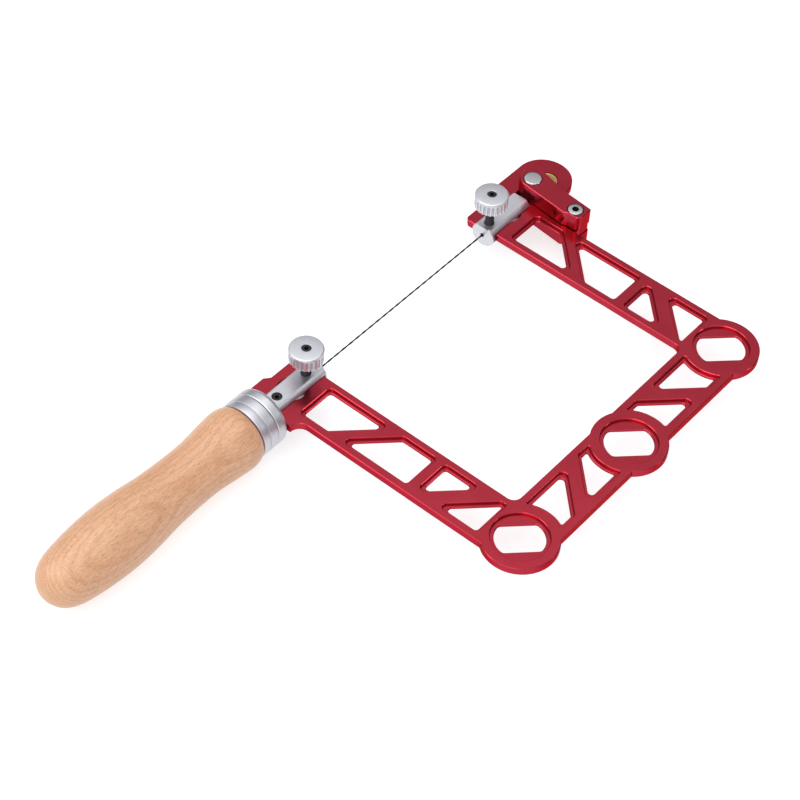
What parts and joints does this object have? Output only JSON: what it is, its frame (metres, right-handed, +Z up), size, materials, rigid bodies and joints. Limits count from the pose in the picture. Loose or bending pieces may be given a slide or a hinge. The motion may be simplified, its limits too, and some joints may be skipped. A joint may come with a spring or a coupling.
{
  "type": "jeweler saw frame",
  "caption": "Flat cut-out metal saw frame with a turned wooden handle, thumbscrew blade clamps on two rods, a spiral blade and a tension lever at the nose.",
  "frame": {"origin": "centre of the outline, at the lowest point of the handle", "axes": "+X along the blade from handle to nose, +Y from the spine to the blade, +Z up through the thumbscrews"},
  "size_m": [0.3254, 0.1514, 0.0363],
  "materials": {
    "red_anodised": "satin red anodised",
    "satin_aluminium": "fine turned, satin",
    "black_oxide": "black oxide",
    "blade_steel": "dark hardened steel",
    "bright_steel": "fine ground",
    "beech": "clear satin lacquer",
    "brass_insert": "plain turned",
    "gold_trim": "satin"
  },
  "bodies": {
    "root": {"frame_plate": "red_anodised", "nose_inlay": "gold_trim", "near_clamp_rod": "satin_aluminium", "near_lock_screw": "black_oxide", "spiral_blade": "blade_steel", "ferrule_front": "satin_aluminium", "ferrule_sleeve": "satin_aluminium", "handle": "beech", "handle_insert": "brass_insert", "handle_tang": "bright_steel", "tang_dowel": "bright_steel"},
    "near_pad": {"near_blade_pad": "brass_insert"},
    "near_knob": {"near_knob": "satin_aluminium", "near_clamp_screw": "black_oxide"},
    "far_rod": {"far_clamp_rod": "satin_aluminium", "tension_stud": "black_oxide"},
    "far_pad": {"far_blade_pad": "brass_insert"},
    "far_knob": {"far_knob": "satin_aluminium", "far_clamp_screw": "black_oxide"},
    "lever": {"lever_top": "red_anodised", "lever_base": "red_anodised", "lever_screw": "bright_steel", "cam_pin": "bright_steel", "pin_collar": "bright_steel"}
  },
  "joints": [
    {"name": "lever_swing", "type": "hinge", "parent": "far_rod", "child": "lever", "pos_m": [0.13905, 0.061, 0.0147], "axis": [0, 0, 1], "range_deg": [0, 60]},
    {"name": "tension_slide", "type": "slide", "parent": "root", "child": "far_rod", "axis": [-1, 0, 0], "range_m": [0, 0.0015]},
    {"name": "near_knob_turn", "type": "hinge", "parent": "near_pad", "child": "near_knob", "pos_m": [-0.01285, 0.061, 0.0307], "axis": [0, 0, 1], "range_deg": [0, 720]},
    {"name": "near_screw_lift", "type": "slide", "parent": "root", "child": "near_pad", "axis": [0, 0, 1], "range_m": [0, 0.0014]},
    {"name": "far_knob_turn", "type": "hinge", "parent": "far_pad", "child": "far_knob", "pos_m": [0.10845, 0.061, 0.0327], "axis": [0, 0, 1], "range_deg": [0, 720]},
    {"name": "far_screw_lift", "type": "slide", "parent": "far_rod", "child": "far_pad", "axis": [0, 0, 1], "range_m": [0, 0.0014]}
  ],
  "couplings": [
    {"joint": "tension_slide", "follows": "lever_swing", "m_per_rad": 0.00143},
    {"joint": "near_screw_lift", "follows": "near_knob_turn", "m_per_rad": 0.0001114},
    {"joint": "far_screw_lift", "follows": "far_knob_turn", "m_per_rad": 0.0001114}
  ]
}
